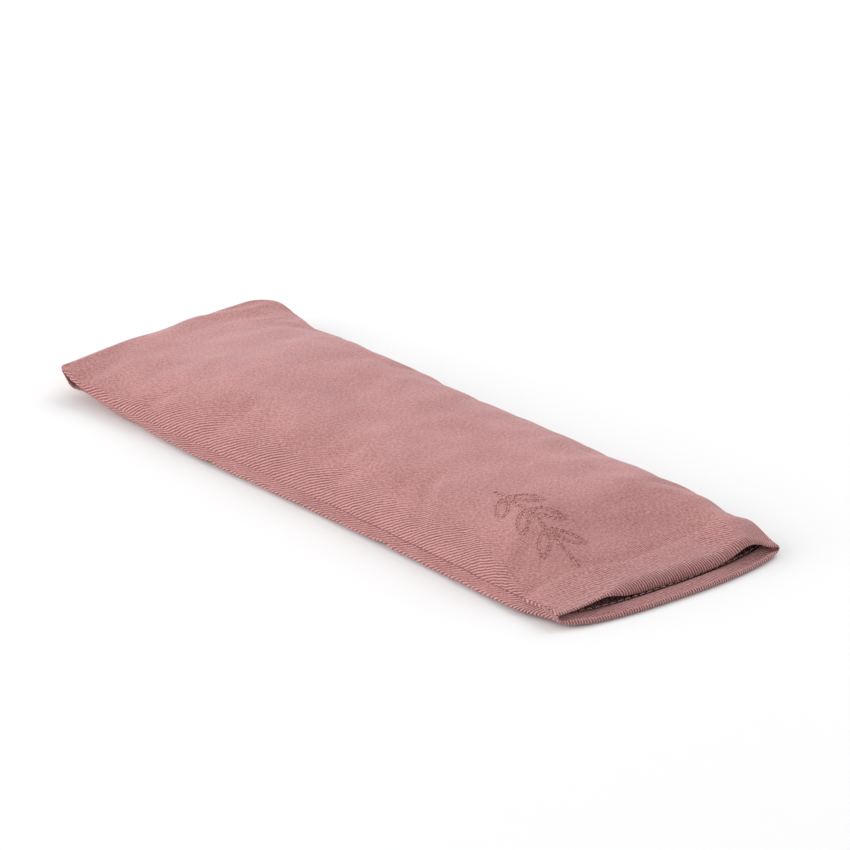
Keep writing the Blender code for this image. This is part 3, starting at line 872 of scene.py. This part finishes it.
def insert_grid(upper):
    """Middle surface of one calico panel, puckered along its seam and lumpy with seeds."""
    share, across, level = panel_grid(INSERT_ROWS, INSERT_COLUMNS, INSERT_ROW_POWER)
    y = across * INSERT_WIDTH / 2.0
    over = np.clip(np.abs(y) - (INSERT_WIDTH / 2.0 - INSERT_CORNER), 0.0, INSERT_CORNER)
    bite = INSERT_CORNER - np.sqrt(INSERT_CORNER**2 - over**2)
    x = (2.0 * share - 1.0) * (INSERT_LENGTH / 2.0 - bite)
    from_end = INSERT_LENGTH / 2.0 - bite - np.abs(x)
    offset = CALICO / 2.0 + INSERT_FOLD
    edge = INSERT_SEAM + (offset if upper else -offset)
    rise = ramp(x, INSERT_START, INSERT_START + FILL_RISE)
    fall = ramp(x, INSERT_END - MOUTH_FALL, INSERT_END)
    crown = SHUT_SEAM_HEIGHT + SHUT_CROWN_RISE + (CROWN - SHUT_SEAM_HEIGHT - SHUT_CROWN_RISE) * rise
    crown = mix(crown, MOUTH_SEAM_HEIGHT + MOUTH_RISE, fall) - INSERT_CLEARANCE
    limit = crown if upper else INSERT_UNDERSIDE
    round_end = round_over(from_end, INSERT_ROUND)
    swell = level**CROWN_POWER if upper else np.minimum(1.0, 1.15 * np.sqrt(level))
    z = edge + (limit - edge) * round_end * swell
    from_side = INSERT_WIDTH / 2.0 - np.abs(y)
    edge_run = np.where(from_side < from_end, x, y)
    close = np.exp(-np.minimum(from_side, from_end) / PUCKER_REACH)
    inside = ramp(np.minimum(from_side, from_end), 0.0, 3.0 * MM)
    sign = 1.0 if upper else -1.0
    z -= sign * PUCKER_HEIGHT * close * inside * (0.5 + 0.5 * ripple(edge_run, PUCKER_SPACING, 7))
    lumps = ripple(x + 0.6 * y, 6.0 * MM, 8) * ripple(y - 0.5 * x, 5.0 * MM, 9)
    z += sign * 0.22 * MM * inside * lumps * (1.0 if upper else 0.5)
    return np.stack([x, y, z], axis=-1)


def make_insert_panel(name, upper, material):
    grid = insert_grid(upper)
    rows, columns = grid.shape[:2]
    cloth = Cloth(grid, upper)
    turn_in(cloth, seam_loop(rows, columns, True), upper, True, INSERT_FOLD, INSERT_ALLOWANCE)
    piece = make_object(name, cloth.points, cloth.faces, cloth.cut)
    piece.data.materials.append(material)
    thicken(piece, CALICO, np.ones(len(cloth.points)), 1.0)
    return piece, grid


def make_insert_threads(grid, material):
    """Stitches in the insert's seam, and the slanting hand stitches that shut its filling gap."""
    rows, columns = grid.shape[:2]
    path = grid.reshape(-1, 3)[seam_loop(rows, columns, True)].copy()
    path[:, 2] = INSERT_SEAM
    row = (path, SEAM_STITCH, SEWING_RADIUS, STITCH_LIFT)
    seam = stitched("insert_seam_stitches", material, row)
    closing = Strands()
    reach = 2.0 * (CALICO + INSERT_FOLD)
    edge = -INSERT_LENGTH / 2.0
    for k in range(CLOSING_STITCHES):
        y = CLOSING_LENGTH * ((k + 0.5) / CLOSING_STITCHES - 0.5)
        angles = np.linspace(-0.42 * math.pi, 0.42 * math.pi, 9)
        x = edge + CLOSING_BITE - (CLOSING_BITE + CALICO) * np.cos(angles)
        slant = y + CLOSING_SLANT * np.sin(angles)
        z = INSERT_SEAM + reach * np.sin(angles)
        closing.add(np.stack([x, slant, z], axis=-1), SEWING_RADIUS)
    return seam, closing.finish("closing_stitches", material)


def make_seeds(upper, lower, material):
    """Packed linseed: a lump in the shape of the bag's inside, covered with separate seeds."""
    gap = CALICO / 2.0 + 0.5 * SEED_SIZE[2] + 0.3 * MM
    points, faces = [], []
    inside = slice(SEED_INSET, -SEED_INSET)
    shrunk = [grid[inside, inside] + (0.0, 0.0, lift) for grid, lift in ((upper, -gap), (lower, gap))]
    bag_faces(shrunk[0], shrunk[1], points, faces)
    random = np.random.default_rng(5)
    rows, columns = shrunk[0].shape[:2]
    for k in range(SEED_COUNT):
        sheet = shrunk[k % 2]
        i, j = random.integers(1, rows - 1), random.integers(1, columns - 1)
        normal = np.cross(sheet[i + 1, j] - sheet[i - 1, j], sheet[i, j + 1] - sheet[i, j - 1])
        normal /= np.linalg.norm(normal)
        add_seed(points, faces, sheet[i, j], normal, random.uniform(0.0, math.pi))
    piece = make_object("linseed_filling", points, faces)
    piece.data.materials.append(material)
    return piece


def bag_faces(upper, lower, points, faces):
    """Closed skin over two grids of the same size, joined all round."""
    rows, columns = upper.shape[:2]
    first = len(points)
    points += [tuple(p) for p in upper.reshape(-1, 3)] + [tuple(p) for p in lower.reshape(-1, 3)]
    under = first + rows * columns
    for quad in grid_quads(rows, columns):
        faces.append(tuple(first + k for k in quad))
        faces.append(tuple(under + k for k in reversed(quad)))
    rim = seam_loop(rows, columns, True)[::-1]
    for a, b in zip(rim, rim[1:]):
        faces.append((first + a, under + a, under + b, first + b))


def add_seed(points, faces, place, normal, heading):
    """One flat seed, pointed at one end, lying on a surface."""
    side = np.cross(normal, (math.cos(heading), math.sin(heading), 0.0))
    side /= np.linalg.norm(side)
    ahead = np.cross(side, normal)
    first = len(points)
    rings, around = 3, 6
    points.append(tuple(place - ahead * SEED_SIZE[0] / 2.0))
    for ring in range(1, rings + 1):
        angle = math.pi * ring / (rings + 1)
        width = math.sin(angle) * (1.15 if ring == 1 else 1.0 - 0.12 * ring)
        for k in range(around):
            turn = 2.0 * math.pi * k / around
            offset = side * SEED_SIZE[1] / 2.0 * math.cos(turn)
            offset = offset + normal * SEED_SIZE[2] / 2.0 * math.sin(turn)
            points.append(tuple(place - ahead * SEED_SIZE[0] / 2.0 * math.cos(angle) + offset * width))
    points.append(tuple(place + ahead * SEED_SIZE[0] / 2.0))
    last = len(points) - 1
    for k in range(around):
        nxt = (k + 1) % around
        faces.append((first, first + 1 + nxt, first + 1 + k))
        for ring in range(rings - 1):
            a = first + 1 + ring * around
            faces.append((a + k, a + nxt, a + around + nxt, a + around + k))
        a = first + 1 + (rings - 1) * around
        faces.append((a + k, a + nxt, last))


# --- Materials ---


IN_MM = (1000.0, 1000.0, 1000.0)
CALICO_YARN = 0.62

# Painted shade and light on the ribs: how much darker the rib gaps and lighter the rib tops are coloured,
# more where the cloth is tilted, and towards the mouth. Sockets 1 to 4 of a
# Map Range node are from, to, and the strength at each
RIB_PAINTED_SHADE = {1: 0.93, 2: 0.68, 3: 0.10, 4: 1.15}
HEM_PAINTED_SHADE = {1: 0.240, 2: 0.258, 3: 0.0, 4: 1.1}


class Nodes:
    """Short way to build a material's nodes."""

    def __init__(self, name):
        self.material = bpy.data.materials.new(name)
        self.material.use_nodes = True
        self.tree = self.material.node_tree
        self.shader = self.tree.nodes["Principled BSDF"]

    def add(self, kind, inputs=None, **settings):
        node = self.tree.nodes.new(kind)
        for key, value in settings.items():
            setattr(node, key, value)
        for key, value in (inputs or {}).items():
            self.put(value, node.inputs[key])
        return node

    def put(self, value, socket):
        if isinstance(value, bpy.types.NodeSocket):
            self.tree.links.new(value, socket)
        else:
            socket.default_value = value

    def math(self, operation, a, b=0.0, c=0.0):
        node = self.add("ShaderNodeMath", {0: a, 1: b, 2: c}, operation=operation)
        return node.outputs[0]

    def noise(self, place, scale, detail, roughness):
        settings = {"Vector": place, "Scale": scale, "Detail": detail, "Roughness": roughness}
        return self.add("ShaderNodeTexNoise", settings).outputs[0]

    def mapping(self, place, scale, rotation=(0.0, 0.0, 0.0)):
        settings = {0: place, "Rotation": rotation, "Scale": scale}
        return self.add("ShaderNodeMapping", settings).outputs[0]

    def surface(self, colour, height, depth, strength, constants):
        """Link the colour and the bump, and set the shader's constant sockets."""
        self.put(colour, self.shader.inputs["Base Color"])
        bump = self.add("ShaderNodeBump", {"Height": height, "Distance": depth, "Strength": strength})
        self.put(bump.outputs[0], self.shader.inputs["Normal"])
        for socket, value in constants.items():
            self.shader.inputs[socket].default_value = value
        return self.material

    def blend(self, factor, a, b):
        node = self.add("ShaderNodeMix", data_type="RGBA")
        self.put(factor, node.inputs[0])
        self.put(a, node.inputs[6])
        self.put(b, node.inputs[7])
        return node.outputs[2]


def rgb(red, green, blue):
    return (red, green, blue, 1.0)


def twill_material(name, light, dark):
    """Heathered twill: fine steep ribs, uneven yarns and a soft sheen. Where the cloth is tilted and over
    the hem, the ribs' colour contrast is raised: painted shade in their gaps and painted light on their
    tops.
    """
    n = Nodes(name)
    uv = n.add("ShaderNodeUVMap", uv_map="cut").outputs[0]
    turned = n.mapping(uv, IN_MM, (0.0, 0.0, -TWILL_ANGLE))
    wobble = n.noise(turned, 0.30, 2.0, 0.5)
    parts = n.add("ShaderNodeSeparateXYZ", {0: turned}).outputs
    across = n.math("MULTIPLY_ADD", wobble, 0.8, parts[1])
    phase = n.math("MULTIPLY", across, 2.0 * math.pi * MM / TWILL_PITCH)
    rib = n.math("MULTIPLY_ADD", n.math("SINE", phase), 0.5, 0.5)
    floats = n.add("ShaderNodeCombineXYZ", {0: n.math("MULTIPLY", parts[0], 0.55), 1: across}).outputs[0]
    yarn = n.noise(floats, 1.5, 2.0, 0.65)
    grain = n.noise(turned, 1.2, 2.0, 0.7)
    patch = n.noise(turned, 0.05, 3.0, 0.55)
    # Painted shade and light: bend and hem scale how dark the rib gaps and how light the rib tops are
    # coloured. They are larger where the cloth tilts from level and over the hem, where hem also raises
    # the yarns' contrast
    normal = n.add("ShaderNodeNewGeometry").outputs["Normal"]
    upright = n.math("ABSOLUTE", n.add("ShaderNodeSeparateXYZ", {0: normal}).outputs[2])
    bend = n.add("ShaderNodeMapRange", {0: upright, **RIB_PAINTED_SHADE}).outputs[0]
    along = n.add("ShaderNodeSeparateXYZ", {0: uv}).outputs[0]
    hem = n.add("ShaderNodeMapRange", {0: along, **HEM_PAINTED_SHADE}).outputs[0]
    bend = n.math("ADD", bend, hem)
    tone = n.math("MULTIPLY", n.math("SUBTRACT", rib, 0.5), bend)
    yarn_share = n.math("MULTIPLY_ADD", hem, 1.3, 1.1)
    tone = n.math("MULTIPLY_ADD", n.math("SUBTRACT", yarn, 0.5), yarn_share, tone)
    tone = n.math("MULTIPLY_ADD", n.math("SUBTRACT", grain, 0.5), 1.2, tone)
    tone = n.math("MULTIPLY_ADD", n.math("SUBTRACT", patch, 0.5), 0.5, tone)
    height = n.math("MULTIPLY_ADD", rib, bend, n.math("MULTIPLY", yarn, 0.6))
    constants = {
        "Roughness": 0.9,
        "Specular IOR Level": 0.25,
        "Sheen Weight": 0.3,
        "Sheen Roughness": 0.5,
        "Sheen Tint": rgb(1.0, 0.82, 0.86),
    }
    colour = n.blend(n.math("ADD", tone, 0.5), dark, light)
    return n.surface(colour, height, 0.2 * MM, 0.9, constants)


def thread_material(name, light, dark, roughness):
    """Twisted thread: light and dark plies, finer than a stitch, and a little sheen. Where the two
    colours lie far apart, as in the mauve thread, the dark ply is painted shade and the light ply a
    painted highlight.
    """
    n = Nodes(name)
    place = n.add("ShaderNodeTexCoord").outputs["Object"]
    ply = n.noise(n.mapping(place, IN_MM), 2.4, 2.0, 0.7)
    tone = n.math("MULTIPLY_ADD", ply, 3.4, -1.25)
    constants = {
        "Roughness": roughness,
        "Specular IOR Level": 0.25,
        "Sheen Weight": 0.1,
        "Sheen Roughness": 0.4,
    }
    return n.surface(n.blend(tone, dark, light), ply, 0.08 * MM, 0.7, constants)


def calico_material(name, light, dark):
    """Plain weave of slubby unbleached yarns, with flecks of husk."""
    n = Nodes(name)
    uv = n.add("ShaderNodeUVMap", uv_map="cut").outputs[0]
    scaled = n.mapping(uv, IN_MM)
    parts = n.add("ShaderNodeSeparateXYZ", {0: scaled}).outputs
    warp = n.math("SINE", n.math("MULTIPLY", parts[0], 2.0 * math.pi / CALICO_YARN))
    weft = n.math("SINE", n.math("MULTIPLY", parts[1], 2.0 * math.pi / CALICO_YARN))
    weave = n.math("MULTIPLY_ADD", n.math("MULTIPLY", warp, weft), 0.5, 0.5)
    slub_a = n.noise(n.mapping(scaled, (0.12, 1.5, 1.0)), 1.0, 2.0, 0.5)
    slub_b = n.noise(n.mapping(scaled, (1.5, 0.12, 1.0)), 1.0, 2.0, 0.5)
    slubs = n.math("MULTIPLY", n.math("ADD", slub_a, slub_b), 0.5)
    tone = n.math("MULTIPLY_ADD", weave, 0.45, slubs)
    husk = n.math("GREATER_THAN", n.noise(scaled, 0.8, 3.0, 0.5), 0.72)
    colour = n.blend(husk, n.blend(tone, dark, light), rgb(0.30, 0.20, 0.11))
    return n.surface(colour, tone, 0.12 * MM, 0.8, {"Roughness": 0.95, "Sheen Weight": 0.15})


def seed_material(name, light, dark):
    """Glossy brown seeds of slightly unlike shades."""
    n = Nodes(name)
    place = n.add("ShaderNodeTexCoord").outputs["Object"]
    scaled = n.mapping(place, IN_MM)
    shade = n.noise(scaled, 0.35, 1.0, 0.5)
    pore = n.noise(scaled, 6.0, 2.0, 0.5)
    tone = n.math("MULTIPLY_ADD", shade, 2.0, n.math("MULTIPLY_ADD", pore, 0.4, -0.7))
    return n.surface(n.blend(tone, dark, light), pore, 0.03 * MM, 0.5, {"Roughness": 0.35})


# --- Set ---


CAMERA_AZIMUTH = math.radians(49.5)
CAMERA_ELEVATION = math.radians(23.0)
CAMERA_DISTANCE = 3.0
CAMERA_LENS = 382.5
AIM_RIGHT = 0.0055
AIM_UP = 0.0155

# Place, size and power of each lamp
SOFTBOX = ((-0.3, 1.35, 1.35), 1.6, 15.5)
NEAR_FILL = ((-0.8, -1.75, 0.6), 1.8, 32.0)

# The surroundings are a little brighter towards +X: from heading, to heading, strength at each
SURROUND = (0.0, 0.9, 0.70, 0.88)
FLOOR_SIZE = 8.0
FLOOR_SHADE = 0.87


def make_camera():
    data = bpy.data.cameras.new("camera")
    data.lens = CAMERA_LENS
    data.sensor_width = 36.0
    data.clip_end = 50.0
    camera = add_object("camera", data)
    az, el = CAMERA_AZIMUTH, CAMERA_ELEVATION
    back = Vector((math.sin(az) * math.cos(el), -math.cos(az) * math.cos(el), math.sin(el)))
    right = Vector((math.cos(az), math.sin(az), 0.0))
    target = right * AIM_RIGHT + back.cross(right) * AIM_UP
    camera.location = target + back * CAMERA_DISTANCE
    camera.rotation_euler = back.to_track_quat("Z", "Y").to_euler()
    bpy.context.scene.camera = camera


def area_light(name, place, size, power):
    data = bpy.data.lights.new(name, "AREA")
    data.shape = "SQUARE"
    data.size = size
    data.energy = power
    light = add_object(name, data)
    light.location = place
    light.rotation_euler = Vector(place).to_track_quat("Z", "Y").to_euler()


def make_set():
    scene = bpy.context.scene
    scene.view_settings.view_transform = "Standard"
    world = bpy.data.worlds.new("studio")
    scene.world = world
    world.use_nodes = True
    tree = world.node_tree
    heading = tree.nodes.new("ShaderNodeSeparateXYZ")
    tree.links.new(tree.nodes.new("ShaderNodeTexCoord").outputs["Generated"], heading.inputs[0])
    fade = tree.nodes.new("ShaderNodeMapRange")
    tree.links.new(heading.outputs[0], fade.inputs[0])
    for socket, value in enumerate(SURROUND, start=1):
        fade.inputs[socket].default_value = value
    background = tree.nodes["Background"]
    background.inputs["Color"].default_value = rgb(1.0, 1.0, 1.0)
    tree.links.new(fade.outputs[0], background.inputs["Strength"])
    area_light("softbox", *SOFTBOX)
    area_light("near_fill", *NEAR_FILL)
    corners = [(x * FLOOR_SIZE, y * FLOOR_SIZE, 0.0) for x, y in ((-1, -1), (1, -1), (1, 1), (-1, 1))]
    floor = make_object("floor", corners, [(0, 1, 2, 3)])
    n = Nodes("floor_paper")
    n.shader.inputs["Base Color"].default_value = rgb(FLOOR_SHADE, FLOOR_SHADE, FLOOR_SHADE)
    n.shader.inputs["Roughness"].default_value = 0.9
    floor.data.materials.append(n.material)


def place(piece, body, slot, *nodes):
    """Let a piece ride on a body, and hide the CAD nodes that it stands for. The finish named by slot is
    not used.
    """
    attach(piece, body)
    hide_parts(*nodes)
    return piece


def make_sleeve():
    twill = twill_material("rose_twill", rgb(0.61, 0.305, 0.293), rgb(0.24, 0.084, 0.082))
    rose = thread_material("rose_thread", rgb(0.64, 0.34, 0.325), rgb(0.46, 0.22, 0.21), 0.8)
    # The mauve thread's near-black and pale colours, mixed with strong contrast, are painted shade and
    # painted highlights along the embroidered lines
    mauve = thread_material("mauve_thread", rgb(0.80, 0.42, 0.40), rgb(0.17, 0.028, 0.036), 0.7)
    upper, lower = sleeve_grid(True), sleeve_grid(False)
    upper_move, lower_move = settle(upper, lower)
    upper += upper_move
    lower += lower_move
    lower[:, :, 2] = np.maximum(lower[:, :, 2], TWILL / 2.0)
    top_cloth = make_panel("sleeve_top_cloth", upper, True, twill)
    place(top_cloth, "sleeve", "rose_twill", "sleeve_top_panel")
    bottom_cloth = make_panel("sleeve_bottom_cloth", lower, False, twill)
    place(bottom_cloth, "sleeve", "rose_twill", "sleeve_bottom_panel")
    top = Top(top_cloth)
    threads = [
        (make_seam_thread(upper, rose), "sleeve_seam_thread"),
        (make_top_hem_stitches(upper, top, rose), "top_hem_stitching"),
        (make_bottom_hem_stitches(lower, rose), "bottom_hem_stitching"),
        (make_back_tack("near_back_tack_stitches", upper, 0, rose), "near_seam_back_tack"),
        (make_back_tack("far_back_tack_stitches", upper, -1, rose), "far_seam_back_tack"),
    ]
    pieces = [top_cloth, bottom_cloth]
    for piece, node in threads:
        pieces.append(place(piece, "sleeve", "rose_thread", node))
    pieces.append(place(make_stem(top, mauve), "sleeve", "mauve_thread", "embroidered_stem"))
    for pair in range(LEAF_PAIRS):
        for side, label in ((-1, "near"), (1, "far")):
            leaf = make_leaf(pair, side, top, mauve)
            pieces.append(place(leaf, "sleeve", "mauve_thread", f"embroidered_leaf_{label}_{pair + 1}"))
    for piece in pieces:
        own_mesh(piece)


def make_insert():
    calico = calico_material("natural_calico", rgb(0.82, 0.75, 0.64), rgb(0.58, 0.49, 0.37))
    natural = thread_material("natural_thread", rgb(0.86, 0.80, 0.70), rgb(0.62, 0.55, 0.44), 0.7)
    linseed = seed_material("linseed", rgb(0.33, 0.15, 0.06), rgb(0.14, 0.055, 0.02))
    top, upper = make_insert_panel("insert_top_cloth", True, calico)
    bottom, lower = make_insert_panel("insert_bottom_cloth", False, calico)
    place(top, "inner_pillow", "natural_calico", "insert_top_panel")
    place(bottom, "inner_pillow", "natural_calico", "insert_bottom_panel")
    seam, closing = make_insert_threads(upper, natural)
    place(seam, "inner_pillow", "natural_thread", "insert_seam_thread")
    place(closing, "inner_pillow", "natural_thread", "insert_closing_stitch")
    place(make_seeds(upper, lower, linseed), "inner_pillow", "linseed", "seed_filling")


def main():
    make_camera()
    make_set()
    make_sleeve()
    make_insert()


main()
